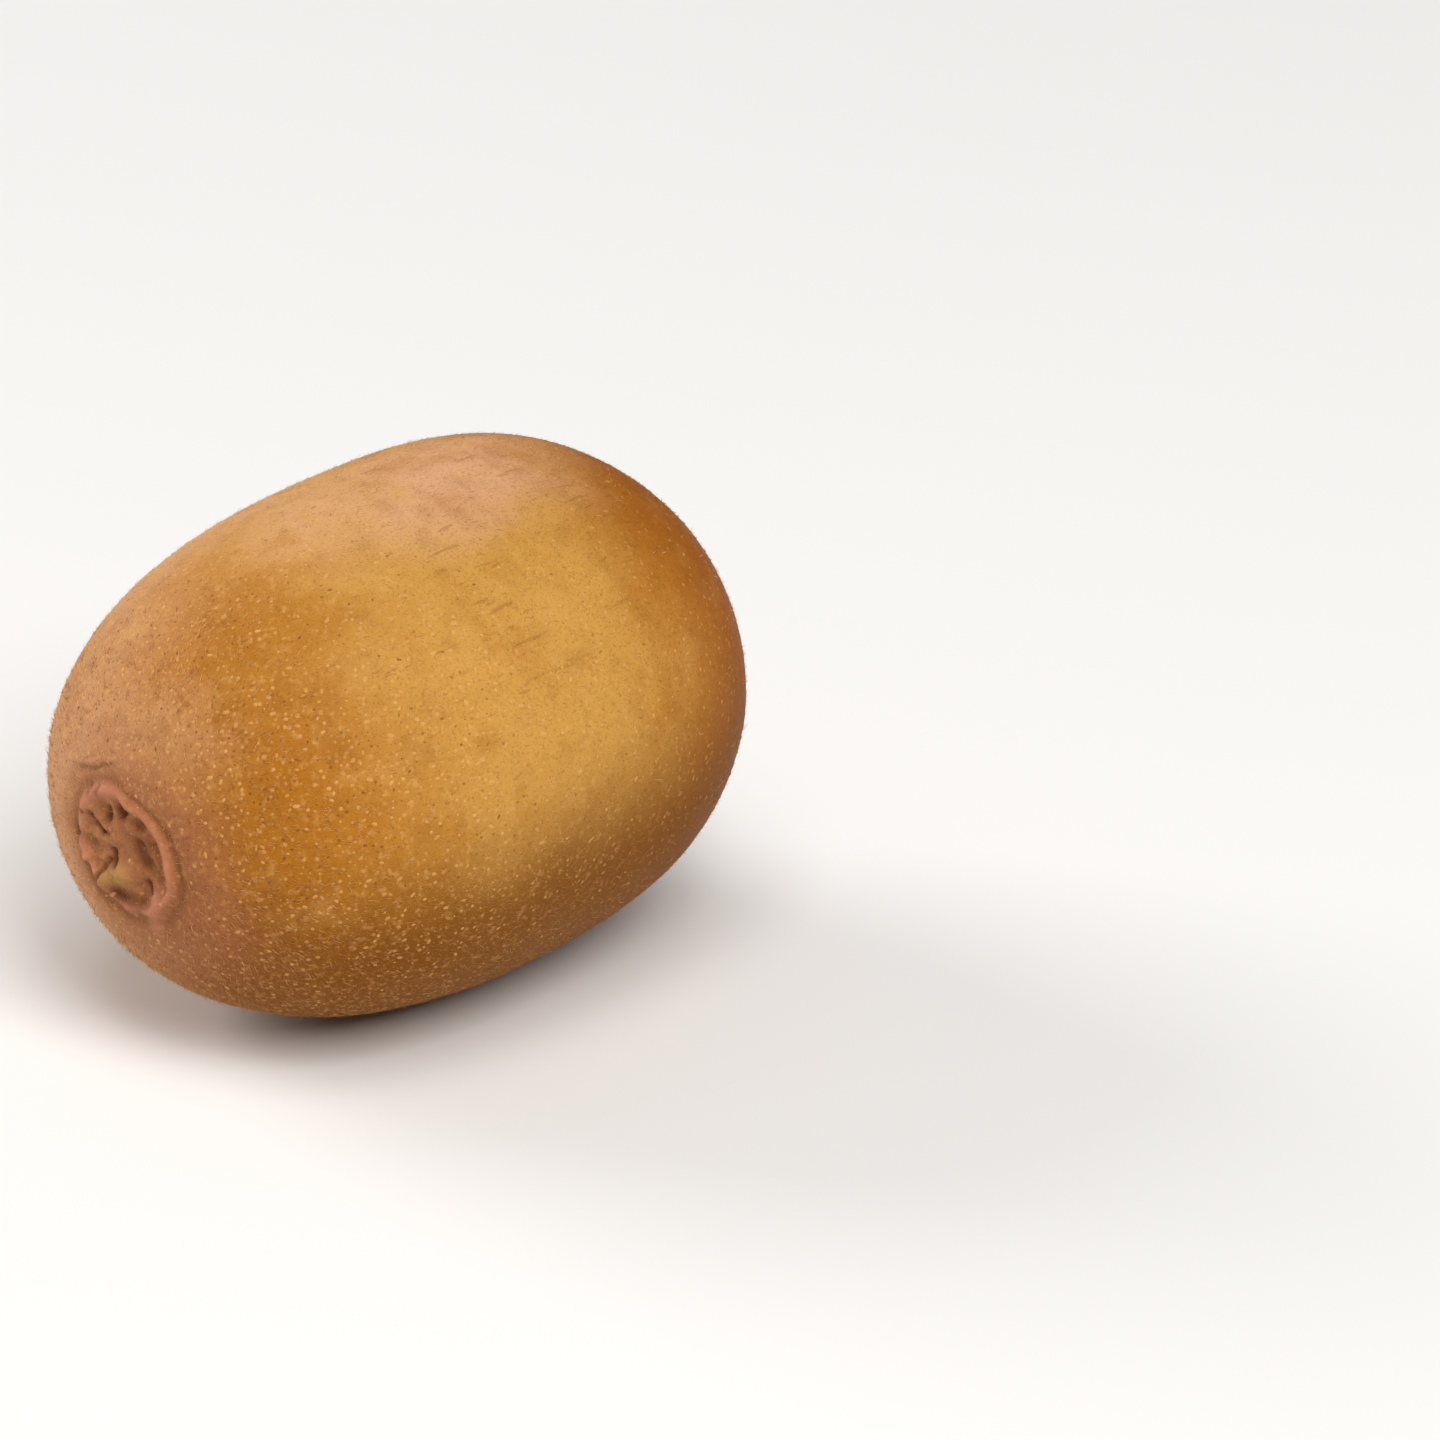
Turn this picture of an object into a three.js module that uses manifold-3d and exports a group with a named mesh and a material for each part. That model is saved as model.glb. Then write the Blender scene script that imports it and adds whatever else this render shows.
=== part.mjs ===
// A golden kiwi fruit: one whole fruit that lies on its broad side, on a small flat spot.
//
// Millimetres, +Z up. The long axis runs along X, with the blossom end towards -X and the stalk end
// towards +X. The origin is the middle of the outline seen from above, on the resting plane.
//
// The body is a lathed barrel with blunt ends, made oval, slightly bowed and faintly lobed by a formula.
// The blossom end carries a button: a puckered ring with a crease round it, a wrinkled bowl inside it,
// and the low knob where the flower's styles stood. The stalk end has a shallow dimple with the round
// stalk scar and the stubs of five sepals.

import * as THREE from "three";
import { mergeVertices } from "three/addons/utils/BufferGeometryUtils.js";
import Module from "manifold-3d";

const degrees = THREE.MathUtils.degToRad;

// Body
const HALF_LENGTH = 36.7; // along the axis, without the relief of the two ends
const HALF_WIDTH = 27.0; // at the widest station, sideways
const HALF_HEIGHT = 25.6; // at the widest station, up and down
const WIDEST_STATION = 3.6; // towards the stalk end from the middle of the length
const BLOSSOM_BLUNTNESS = 2.55; // superellipse exponents: 2 is an ellipse, more is blunter
const STALK_BLUNTNESS = 2.48;
const AXIS_BOW = 0.5; // how far the axis is bowed sideways at its ends
const BLOSSOM_DROP = degrees(1.0); // the blossom end lies this much lower than level
const FLAT_DEPTH = 0.4; // how much of the lowest point the flat spot takes off

// Waves round the axis: how many to a turn, how strong, and the angle of a crest from +Y towards +Z
const BODY_LOBES = [
  { count: 3, share: 0.006, crest: degrees(-30) },
  { count: 5, share: 0.003, crest: degrees(-54) },
];
const RING_OUTLINE = [
  { count: 1, share: 0.15, crest: degrees(260) },
  { count: 2, share: 0.09, crest: degrees(50) },
  { count: 3, share: 0.02, crest: degrees(40) },
  { count: 5, share: 0.02, crest: 0 },
];
const RING_SWELL = [
  { count: 1, share: 0.2, crest: degrees(160) },
  { count: 5, share: 0.15, crest: degrees(-23) },
];
const RING_BREADTH = [{ count: 1, share: 0.5, crest: degrees(70) }];
const MOAT_SWELL = [{ count: 1, share: 0.6, crest: degrees(175) }];

// Blossom end: a zone's place and width are shares of the ring's radius, its height is in millimetres
const BUTTON_MIDDLE = { y: 1.4, z: 0.3 }; // a little off the axis
const RING_RADIUS = 6.0; // of the crest of the ring
const RING = { at: 1.0, width: 0.1, height: 0.55 };
const MOAT = { at: 0.7, width: 0.17, height: -0.5 }; // in the bowl, along the foot of the ring
const BUTTON_ZONES = [
  { at: 0.0, width: 1.25, height: 0.45 }, // the whole button stands a little proud
  { at: 0.0, width: 0.7, height: -0.75 }, // bowl
  { at: 1.15, width: 0.1, height: -0.28 }, // crease
  { at: 1.65, width: 0.4, height: 0.3 }, // collar
];
const PUCKERS = { count: 9, twist: 2.5, at: 0.75, width: 0.25, height: 0.25 };
const KNOB = { y: 0.8, z: -3.8, width: 1.6, height: 0.95 }; // from the button's middle

// Stalk end: a zone's place, width and height are in millimetres
const STALK_ZONES = [
  { at: 0.0, width: 6.5, height: -1.5 }, // dimple
  { at: 2.7, width: 0.75, height: 0.5 }, // lip of the stalk scar
];
const SEPALS = { count: 5, crest: degrees(-7), at: 5.0, width: 1.3, height: 0.45 };

// Fineness of the lathed mesh
const SIDES = 72;
const POLE_RADIUS = 0.7; // the first circle round each end of the axis
const BLOSSOM_EDGE = { radius: 12.2, step: 0.5 }; // how far out the fine circles go, and their spacing
const STALK_EDGE = { radius: 9.1, step: 0.6 };
const SHOULDER_EDGE = { radius: 24.0, step: 1.5 };
const BARREL_STEP = 3.0;
const WELD_DISTANCE = 1e-3;

const SKIN = new THREE.MeshStandardMaterial({
  name: "golden_skin",
  color: new THREE.Color(0.72, 0.47, 0.18),
  roughness: 0.62,
  metalness: 0.0,
});

// A smooth bump of height 1 at distance 0 that has faded away by about twice its width.
function bump(distance, width) {
  return Math.exp(-((distance / width) ** 2));
}

// The sum of some waves at an angle round the axis.
function wavesAt(waves, turn) {
  return waves.reduce((sum, { count, share, crest }) => sum + share * Math.cos(count * (turn - crest)), 0);
}

// The sum of some round zones of relief at a distance from their centre.
function zonesAt(zones, distance) {
  return zones.reduce((sum, { at, width, height }) => sum + height * bump(distance - at, width), 0);
}

// Bluntness and length of the body's blossom side (-1) or stalk side (+1), from the widest station.
function sideOf(sign) {
  return {
    power: sign < 0 ? BLOSSOM_BLUNTNESS : STALK_BLUNTNESS,
    reach: HALF_LENGTH - sign * WIDEST_STATION,
  };
}

// The station on the axis where the plain body has this radius, on one side of the widest station.
function stationAt(radius, sign) {
  const { power, reach } = sideOf(sign);
  return WIDEST_STATION + sign * reach * (1 - (radius / HALF_WIDTH) ** power) ** (1 / power);
}

// The plain body's radius at a station on the axis.
function radiusAt(station) {
  const { power, reach } = sideOf(Math.sign(station - WIDEST_STATION));
  const share = Math.abs(station - WIDEST_STATION) / reach;
  return HALF_WIDTH * (1 - share ** power) ** (1 / power);
}

// Evenly spaced numbers from one to the other, both included, about a step apart.
function evenly(from, to, step) {
  const count = Math.round((to - from) / step);
  return Array.from({ length: count + 1 }, (_, i) => from + ((to - from) * i) / count);
}

// The circles' places on one side, from the end of the axis out to the barrel: fine, then coarser.
function endOutline(edge, sign) {
  const fine = evenly(POLE_RADIUS, edge.radius, edge.step);
  const coarse = evenly(edge.radius, SHOULDER_EDGE.radius, SHOULDER_EDGE.step).slice(1);
  const circles = [...fine, ...coarse].map((radius) => new THREE.Vector2(radius, stationAt(radius, sign)));
  return [new THREE.Vector2(0, sign * HALF_LENGTH), ...circles];
}

// The outline that is lathed, from the blossom end to the stalk end.
function outline() {
  const blossom = endOutline(BLOSSOM_EDGE, -1);
  const stalk = endOutline(STALK_EDGE, 1).reverse();
  const barrel = evenly(blossom.at(-1).y, stalk[0].y, BARREL_STEP)
    .slice(1, -1)
    .map((station) => new THREE.Vector2(radiusAt(station), station));
  return [...blossom, ...barrel, ...stalk];
}

// How far the blossom end's skin stands out along the axis, at (y, z) from the button's middle.
function blossomRelief(y, z) {
  const turn = Math.atan2(z, y);
  const out = Math.hypot(y, z) / (RING_RADIUS * (1 + wavesAt(RING_OUTLINE, turn)));
  const breadth = RING.width * (1 + wavesAt(RING_BREADTH, turn));
  const ring = RING.height * (1 + wavesAt(RING_SWELL, turn)) * bump(out - RING.at, breadth);
  const folds = Math.cos(PUCKERS.count * turn + PUCKERS.twist * out);
  const puckers = PUCKERS.height * folds * bump(out - PUCKERS.at, PUCKERS.width);
  const moat = MOAT.height * (1 + wavesAt(MOAT_SWELL, turn)) * bump(out - MOAT.at, MOAT.width);
  const knob = KNOB.height * bump(Math.hypot(y - KNOB.y, z - KNOB.z), KNOB.width);
  return zonesAt(BUTTON_ZONES, out) + ring + moat + puckers + knob;
}

// How far the stalk end's skin stands out along the axis, at (y, z) from it.
function stalkRelief(y, z) {
  const turn = Math.atan2(z, y);
  const radius = Math.hypot(y, z);
  const stub = (1 + Math.cos(SEPALS.count * (turn - SEPALS.crest))) / 2; // 1 in the middle of a sepal
  return zonesAt(STALK_ZONES, radius) + SEPALS.height * stub * bump(radius - SEPALS.at, SEPALS.width);
}

// Turns a point of the lathed body into the grown fruit's: oval, lobed and bowed, with its two ends.
function grow(point) {
  const { x, y, z } = point;
  const along = x / HALF_LENGTH; // -1 at the blossom end, 1 at the stalk end
  const lobes = 1 + (1 - along ** 2) * wavesAt(BODY_LOBES, Math.atan2(z, y));
  point.x = x < 0 ? x - blossomRelief(y - BUTTON_MIDDLE.y, z - BUTTON_MIDDLE.z) : x + stalkRelief(y, z);
  point.y = y * lobes + AXIS_BOW * along ** 2;
  point.z = z * lobes * (HALF_HEIGHT / HALF_WIDTH);
}

// A copy of a geometry that keeps only the positions, with its shared corners merged.
function welded(geometry) {
  const bare = new THREE.BufferGeometry().setAttribute("position", geometry.getAttribute("position"));
  return mergeVertices(bare.setIndex(geometry.index), WELD_DISTANCE);
}

// The fruit's whole skin as one closed geometry, lying along X, without the flat spot.
function roundFruit() {
  const lathed = new THREE.LatheGeometry(outline(), SIDES);
  const geometry = welded(lathed.rotateZ(-Math.PI / 2)); // the lathe's axis, +Y, becomes +X
  const positions = geometry.getAttribute("position");
  const point = new THREE.Vector3();
  for (let i = 0; i < positions.count; i++) {
    point.fromBufferAttribute(positions, i);
    grow(point);
    positions.setXYZ(i, point.x, point.y, point.z);
  }
  return geometry.rotateY(-BLOSSOM_DROP);
}

const wasm = await Module();
wasm.setup();

function toSolid(geometry) {
  const { attributes, index } = welded(geometry);
  const vertProperties = new Float32Array(attributes.position.array);
  const triVerts = new Uint32Array(index.array);
  return new wasm.Manifold(new wasm.Mesh({ numProp: 3, vertProperties, triVerts }));
}

function toGeometry(solid) {
  const { vertProperties, triVerts } = solid.getMesh();
  return new THREE.BufferGeometry()
    .setAttribute("position", new THREE.BufferAttribute(vertProperties, 3))
    .setIndex(new THREE.BufferAttribute(triVerts, 1));
}

// Takes the flat spot off the lowest point, and stands the fruit on it over the origin.
function settled(geometry) {
  geometry.computeBoundingBox();
  const { min, max } = geometry.boundingBox;
  const floorLevel = min.z + FLAT_DEPTH;
  const belowFloor = new THREE.BoxGeometry(4 * HALF_LENGTH, 4 * HALF_LENGTH, HALF_HEIGHT);
  belowFloor.translate(0, 0, floorLevel - HALF_HEIGHT / 2);
  const standing = toGeometry(toSolid(geometry).subtract(toSolid(belowFloor)));
  return standing.translate(-(min.x + max.x) / 2, -(min.y + max.y) / 2, -floorLevel);
}

const skin = settled(roundFruit());
skin.computeVertexNormals();
const fruit = new THREE.Mesh(skin, SKIN);
fruit.name = "kiwi_fruit";

const part = new THREE.Group();
part.add(fruit);

export default part;
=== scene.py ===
"""Dresses a golden kiwi fruit: the fine skin with its button, the specks and the short fuzz on it,
the dry remains at the stalk end, and a pale studio floor with soft light.

Lengths are in metres unless their comment says otherwise, +Z up. The fruit lies along X with its
blossom end, which carries the button, towards -X. The solid in the frame gives its place."""

import math
from collections import namedtuple

import bmesh
import bpy
import numpy as np
from bpy.props import FloatProperty, FloatVectorProperty, IntProperty, PointerProperty
from mathutils import Matrix, Vector, noise
from mathutils.bvhtree import BVHTree


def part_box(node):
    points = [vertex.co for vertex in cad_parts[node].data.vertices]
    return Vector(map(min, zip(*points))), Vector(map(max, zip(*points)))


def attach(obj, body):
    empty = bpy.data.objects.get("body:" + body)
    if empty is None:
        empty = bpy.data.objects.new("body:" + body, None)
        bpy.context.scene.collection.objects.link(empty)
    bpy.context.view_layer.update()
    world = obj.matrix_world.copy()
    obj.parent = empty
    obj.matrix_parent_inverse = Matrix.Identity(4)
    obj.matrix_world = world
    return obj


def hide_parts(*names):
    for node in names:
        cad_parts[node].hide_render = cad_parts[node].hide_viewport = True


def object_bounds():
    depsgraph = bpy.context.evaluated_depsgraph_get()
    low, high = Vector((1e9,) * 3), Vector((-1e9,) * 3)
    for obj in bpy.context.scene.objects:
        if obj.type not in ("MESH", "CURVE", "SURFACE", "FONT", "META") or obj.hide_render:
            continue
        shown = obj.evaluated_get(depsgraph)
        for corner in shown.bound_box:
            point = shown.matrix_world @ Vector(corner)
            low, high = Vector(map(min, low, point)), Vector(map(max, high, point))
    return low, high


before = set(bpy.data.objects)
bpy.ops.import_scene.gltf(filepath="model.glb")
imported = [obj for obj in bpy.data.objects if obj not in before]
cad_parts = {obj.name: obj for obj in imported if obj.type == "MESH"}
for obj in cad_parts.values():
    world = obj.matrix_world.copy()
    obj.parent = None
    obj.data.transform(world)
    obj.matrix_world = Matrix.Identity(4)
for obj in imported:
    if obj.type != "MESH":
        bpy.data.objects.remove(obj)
SOLID_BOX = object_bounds()

bl_info = {
    "name": "Golden kiwi fruit",
    "version": (1, 0, 0),
    "blender": (4, 5, 0),
    "location": "3D View > Sidebar > Kiwi",
    "description": "Makes a golden kiwi fruit's skin, specks, fuzz and dry stalk end, and a studio",
    "category": "Add Mesh",
}

MM = 0.001
BODY = "root"
SOLID = "kiwi_fruit"
SKIN = "kiwi_skin"

# Waves round the axis: how many to a turn, how strong, and the angle of a crest from +Y towards +Z
Wave = namedtuple("Wave", "count share crest")
BODY_LOBES = (Wave(3, 0.006, math.radians(-30)), Wave(5, 0.003, math.radians(-54)))
RING_OUTLINE = (
    Wave(1, 0.15, math.radians(260)),
    Wave(2, 0.09, math.radians(50)),
    Wave(3, 0.02, math.radians(40)),
    Wave(5, 0.02, 0.0),
)
RING_SWELL = (Wave(1, 0.20, math.radians(160)), Wave(5, 0.15, math.radians(-23)))
RING_BREADTH = (Wave(1, 0.5, math.radians(70)),)
MOAT_SWELL = (Wave(1, 0.6, math.radians(175)),)

# Round zones of relief. On the button, place and width are shares of the ring's radius.
Zone = namedtuple("Zone", "at width height")
RING = Zone(1.0, 0.10, 0.55 * MM)
CREASE = Zone(1.15, 0.10, -0.28 * MM)
BOWL = Zone(0.0, 0.7, -0.75 * MM)
MOAT = Zone(0.70, 0.17, -0.5 * MM)
BUTTON_ZONES = (Zone(0.0, 1.25, 0.45 * MM), BOWL, CREASE, Zone(1.65, 0.4, 0.3 * MM))
PUCKERS = Zone(0.75, 0.25, 0.25 * MM)
PUCKER_COUNT = 9
PUCKER_TWIST = 2.5
DIMPLE = Zone(0.0, 6.5 * MM, -1.5 * MM)
SCAR_LIP = Zone(2.7 * MM, 0.75 * MM, 0.5 * MM)
SEPALS = Zone(5.0 * MM, 1.3 * MM, 0.45 * MM)
SEPAL_COUNT = 5
SEPAL_CREST = math.radians(-7)

BUTTON_MIDDLE = (1.4 * MM, 0.3 * MM)  # a little off the axis

# The button's own marks, each a ridge or a groove from one (y, z) to another, measured from the
# button's middle. Their places, widths and heights are in millimetres.
Mark = namedtuple("Mark", "start end width height")
KNOB = Mark((2.6, -4.6), (0.1, -3.5), 1.15, 0.95)
FLAP = Mark((-3.9, -4.8), (-3.3, -8.0), 0.95, 0.36)  # a loose fold below the ring
BUTTON_MARKS = (
    Mark((1.5, -1.4), (1.3, -2.9), 0.40, -0.60),  # slit beside the knob
    Mark((3.9, -5.6), (2.1, -2.5), 0.30, -0.50),  # long slit under the shelf
    Mark((0.8, 1.5), (0.7, 0.2), 0.46, 0.45),  # bar above the knob
    Mark((2.1, 3.0), (2.1, 1.9), 0.42, -0.50),  # notches under the top of the ring
    Mark((0.4, 3.7), (0.1, 2.9), 0.50, -0.50),
    Mark((4.5, 1.8), (4.4, 1.7), 0.38, -0.65),  # pits
    Mark((5.8, 1.9), (5.6, 1.8), 0.30, -0.50),
    Mark((4.0, 1.0), (3.0, 0.2), 0.34, -0.30),  # bent groove from the pit to the bar
    Mark((3.0, 0.2), (2.3, 0.2), 0.34, -0.30),
    Mark((6.4, -0.8), (4.2, -1.2), 0.60, -0.32),  # low place on the shelf
    Mark((6.2, -1.4), (5.0, -3.0), 0.40, 0.32),  # rim of the shelf on the left
    Mark((5.0, -3.0), (2.8, -2.4), 0.40, 0.32),
    Mark((-1.8, 0.3), (-2.7, -1.2), 0.85, -0.70),  # foot of the ring
    Mark((-2.8, -3.7), (-3.2, -4.5), 0.42, -0.60),
    Mark((1.8, -6.3), (-1.8, -6.3), 0.85, -0.42),
    Mark((-3.9, 0.4), (-4.2, -1.7), 0.35, 0.35),  # fold on the ring's inner wall
    Mark((4.6, 3.9), (4.2, 4.9), 0.36, -0.30),  # pleats across the ring
    Mark((3.3, 4.5), (2.9, 5.2), 0.32, -0.28),
    Mark((6.4, 6.2), (4.0, 6.9), 0.28, -0.14),  # fold outside the ring
    Mark((4.0, 6.9), (1.5, 8.1), 0.24, -0.12),
    Mark((6.1, 6.8), (1.3, 8.5), 0.28, 0.18),
    Mark((-6.9, 2.8), (-9.8, 3.8), 0.22, 0.16),
)
RING_LUMPS = 0.42  # how much the ring's height and place change along it
RING_FAINT = math.radians(122)  # where the ring is faintest, and over how wide an angle
RING_FAINT_BREADTH = math.radians(38)
MARK_SWAY = 0.18 * MM  # how far the marks stray from their straight lines

# Fineness of the skin's mesh
DRAFT_RINGS = 4000
BLOSSOM_EDGE = 12.5 * MM  # radius of the fine part at each end
STALK_EDGE = 9.0 * MM
EDGE_SHARPNESS = 12
END_SPACING = 0.34  # of the spacing on the barrel
FURROWS = 58  # fine wrinkles round the button

# Forms of what stands on the skin
SPECK_SIDES = 6
SPECK_TRIES = 3  # spots tried for each speck that is kept
SPECK_CLEARANCE = 0.3 * MM  # no speck stands lower than this above the floor
PAD_CIRCLES = ((1.0, -0.3), (0.58, 0.6))  # a speck's rim and shoulder: shares of breadth and height
PAD_ROOT = 0.8  # how far a speck goes under its spot, as a share of its height
SCAR_SIDES = 64
SCAR_CIRCLES = 15
SCAR_FOLDS = 11  # round the plug of the stalk scar
STUB_ROWS = 13
STUB_COLUMNS = 9
FUZZ_OVERLAP = 14 * MM  # how far the fuzz of each half reaches into the other, thinning out

# Studio
FLOOR_HALF = 3.0
SENSOR_WIDTH = 36.0  # of the camera, in millimetres

# Seeds of the random draws
SPECK_SEED = 11
BLOSSOM_FUZZ_SEED = 12
BRISTLE_SEED = 13
STALK_FUZZ_SEED = 14
SEPAL_SEED = 15

BUTTON_MASKS = ("button", "ring", "bowl", "knob", "hollow")
MASKS = (*BUTTON_MASKS, "scar", "along")  # kept on the skin's corners
BAKE_MAP = "OFBake"  # the name of the map that a piece's finish is baked on

Surface = namedtuple("Surface", "corners triangles normals masks")
Spots = namedtuple("Spots", "places normals along masks")


# ---- what a user may change


def number(name, description, value, **settings):
    return FloatProperty(name=name, description=description, default=value, **settings)


def length(name, description, millimetres):
    """A size, given in millimetres and kept in metres."""
    return number(name, description, millimetres * MM, unit="LENGTH", precision=5)


def angle(name, description, degrees):
    return number(name, description, math.radians(degrees), subtype="ANGLE")


def count(name, description, value):
    return IntProperty(name=name, description=description, default=value, min=0)


def colour(name, description, red, green, blue):
    """A colour, given as it shows on a screen, from 0 to 255, and kept as linear light."""
    shown = np.array((red, green, blue)) / 255
    linear = np.where(shown > 0.04045, ((shown + 0.055) / 1.055) ** 2.4, shown / 12.92)
    return FloatVectorProperty(
        name=name, description=description, default=tuple(linear), subtype="COLOR", min=0.0, max=1.0
    )


class KiwiShape(bpy.types.PropertyGroup):
    """Sizes of the body and its two ends."""

    half_length: length("Half length", "Along the axis, without the relief of the ends", 36.7)
    half_width: length("Half width", "At the widest station, sideways", 27.0)
    half_height: length("Half height", "At the widest station, up and down", 25.6)
    widest_station: length("Widest station", "Towards the stalk end from the middle", 3.6)
    blossom_bluntness: number("Blossom bluntness", "2 is an ellipse, more is blunter", 2.55)
    stalk_bluntness: number("Stalk bluntness", "2 is an ellipse, more is blunter", 2.48)
    axis_bow: length("Axis bow", "How far the axis is bowed sideways at its ends", 0.5)
    blossom_drop: angle("Blossom drop", "How far the blossom end lies lower than level", 1.0)
    flat_depth: length("Flat depth", "How much the flat spot takes off the lowest point", 0.4)
    ring_radius: length("Ring radius", "Of the crest of the button's ring", 6.0)
    unevenness: length("Unevenness", "Height of the skin's slow waves", 0.09)
    wrinkles: length("Wrinkles", "Depth of the fine wrinkles that run from the button", 0.08)
    rings: count("Rings", "Rings of the skin's mesh from end to end", 276)
    sides: count("Sides", "Sides of each ring", 350)


class KiwiColours(bpy.types.PropertyGroup):
    """Colours of the skin and of what stands on it."""

    gold: colour("Gold", "Most of the skin", 200, 148, 71)
    amber: colour("Amber", "Deeper skin towards the blossom end", 171, 107, 28)
    straw: colour("Straw", "Paler clouds in the skin", 208, 156, 84)
    # Russet is partly the browner skin of the stalk end and partly painted shade, laid most on the
    # near side.
    russet_and_shade: colour("Russet", "Browner skin towards the stalk end", 154, 82, 2)
    # Umber is painted shade on the underside and low on the near side, and also the colour of the
    # fine mottling and grain.
    umber_shade_and_mottle: colour("Umber", "Underside and fine mottling", 122, 68, 6)
    # Bloom is painted sheen: the paler, rosier top, the far outline and the upper side above the
    # button.
    painted_sheen: colour("Bloom", "Rosier skin on the upper side", 216, 164, 122)
    rose: colour("Rose", "Skin round the button", 165, 104, 67)
    ring: colour("Ring", "Crest of the button's ring", 198, 130, 104)
    # Hollow is painted shade in the button's creases, slits and pits, and the darker streaks of the
    # dry remains.
    hollow: colour("Hollow", "Creases, slits and pits", 100, 54, 28)
    knob: colour("Knob", "The low knob in the bowl", 178, 136, 78)
    speck: colour("Speck", "Pale specks", 220, 166, 100)
    fleck: colour("Fleck", "Small dark flecks", 122, 70, 20)
    fuzz: colour("Fuzz", "Short hairs of the blossom half", 226, 176, 112)
    down: colour("Down", "Short hairs of the stalk half", 152, 94, 28)
    dry: colour("Dry remains", "Sepals and stalk scar", 124, 82, 42)
    cork: colour("Cork", "Paler patches on the dry remains", 160, 118, 70)


class KiwiCover(bpy.types.PropertyGroup):
    """How much stands on the skin."""

    specks: count("Specks", "Raised specks, most of them pale", 7600)
    speck_size: length("Speck size", "Mean width of a speck", 0.34)
    speck_gap: length("Speck gap", "Least distance between two specks", 0.58)
    dark_share: number("Dark share", "Share of the specks that are dark", 0.32)
    blossom_hairs: count("Blossom hairs", "Fine hairs on the blossom half", 26000)
    stalk_hairs: count("Stalk hairs", "Fine hairs on the stalk half", 18000)
    hair_length: length("Hair length", "Mean length of a fine hair", 0.42)
    hair_width: length("Hair width", "At the root", 0.030)
    bristles: count("Bristles", "Stiffer hairs near both ends", 5200)
    bristle_length: length("Bristle length", "Mean length of a bristle", 0.75)
    bristle_width: length("Bristle width", "At the root", 0.07)


class KiwiEnds(bpy.types.PropertyGroup):
    """Sizes of what is left of the stalk and the sepals."""

    scar_radius: length("Scar radius", "Of the fibrous plug in the stalk scar", 2.4)
    scar_height: length("Scar height", "Of the plug above the skin", 0.35)
    sepal_length: length("Sepal length", "Of a dry stub, along the skin", 3.4)
    sepal_width: length("Sepal width", "At its root", 2.9)
    sepal_curl: length("Sepal curl", "How far a stub's tip stands off the skin", 0.9)
    sepal_thickness: length("Sepal thickness", "Of a dry stub", 0.18)


class KiwiStudio(bpy.types.PropertyGroup):
    """Camera, floor and lights."""

    azimuth: angle("Azimuth", "Of the camera: 0 is on the -Y side, 90 degrees on +X", -49.5)
    elevation: angle("Elevation", "Of the camera, above the floor", 23.7)
    distance: length("Distance", "From the camera to the fruit's middle", 700.0)
    lens: number("Lens", "Focal length on a sensor 36 wide, in millimetres", 178.6)
    aim_right: length("Aim right", "How far right of the fruit's middle the camera looks", 31.7)
    aim_up: length("Aim up", "How far above the fruit's middle the camera looks", 0.4)
    key_power: number("Key power", "Of the main softbox, in watts", 22.5)
    fill_power: number("Fill power", "Of the softbox on the other side, in watts", 21.0)
    top_power: number("Top power", "Of the softbox overhead, in watts", 11.5)
    sky: number("Sky", "Strength of the even light all round", 0.17)


# ---- meshes


def mesh_of(name, corners, faces):
    mesh = bpy.data.meshes.new(name)
    mesh.from_pydata(corners, [], faces)
    mesh.update()
    return mesh


def values_of(items, name, width=1, kind=np.float32):
    """What some items of a mesh hold under a name, one row to an item."""
    values = np.empty(len(items) * width, kind)
    items.foreach_get(name, values)
    return values.reshape(-1, width) if width > 1 else values


def write_mask(mesh, name, values):
    layer = mesh.attributes.new(name, "FLOAT", "POINT")
    layer.data.foreach_set("value", values.astype(np.float32))


def write_map(mesh, places):
    layer = mesh.uv_layers.new(name=BAKE_MAP)
    layer.data.foreach_set("uv", places.astype(np.float32).ravel())


# ---- form


def bump(distance, width):
    """A smooth bump of height 1 at distance 0 that has faded away by about twice its width."""
    return np.exp(-((distance / width) ** 2))


def waves_at(waves, turn):
    return sum(wave.share * np.cos(wave.count * (turn - wave.crest)) for wave in waves)


def zone_at(zone, distance):
    return zone.height * bump(distance - zone.at, zone.width)


def mark_at(mark, y, z):
    """The height of a ridge or groove at (y, z), in metres."""
    start, end = np.array(mark.start) * MM, np.array(mark.end) * MM
    run = end - start
    share = ((y - start[0]) * run[0] + (z - start[1]) * run[1]) / (run @ run)
    share = np.clip(share, 0.0, 1.0)
    away = np.hypot(y - start[0] - share * run[0], z - start[1] - share * run[1])
    return mark.height * MM * bump(away, mark.width * MM)


def wobble(places, cell, seed=0.0):
    """Smooth noise from -1 to 1 at some places, with features about a cell across."""
    offset = Vector((seed, 2.0 * seed, -seed))
    return np.array([noise.noise(Vector(place) / cell + offset) for place in places])


def meridian(shape):
    """Stations and radii of the plain body's rings, closest together at the two ends."""
    station = -shape.half_length * np.cos(np.linspace(0.0, math.pi, DRAFT_RINGS))
    blossom = station < shape.widest_station
    power = np.where(blossom, shape.blossom_bluntness, shape.stalk_bluntness)
    reach = shape.half_length + np.where(blossom, 1.0, -1.0) * shape.widest_station
    share = np.minimum(np.abs(station - shape.widest_station) / reach, 1.0)
    radius = shape.half_width * (1.0 - share**power) ** (1.0 / power)
    edge = np.where(blossom, BLOSSOM_EDGE, STALK_EDGE)
    at_end = 1.0 / (1.0 + (radius / edge) ** EDGE_SHARPNESS)
    spacing = 1.0 - (1.0 - END_SPACING) * at_end
    steps = np.hypot(np.diff(station), np.diff(radius)) / spacing[1:]
    walked = np.concatenate(([0.0], np.cumsum(steps)))
    wanted = np.linspace(0.0, walked[-1], shape.rings + 2)
    return np.interp(wanted, walked, station), np.interp(wanted, walked, radius)


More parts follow.
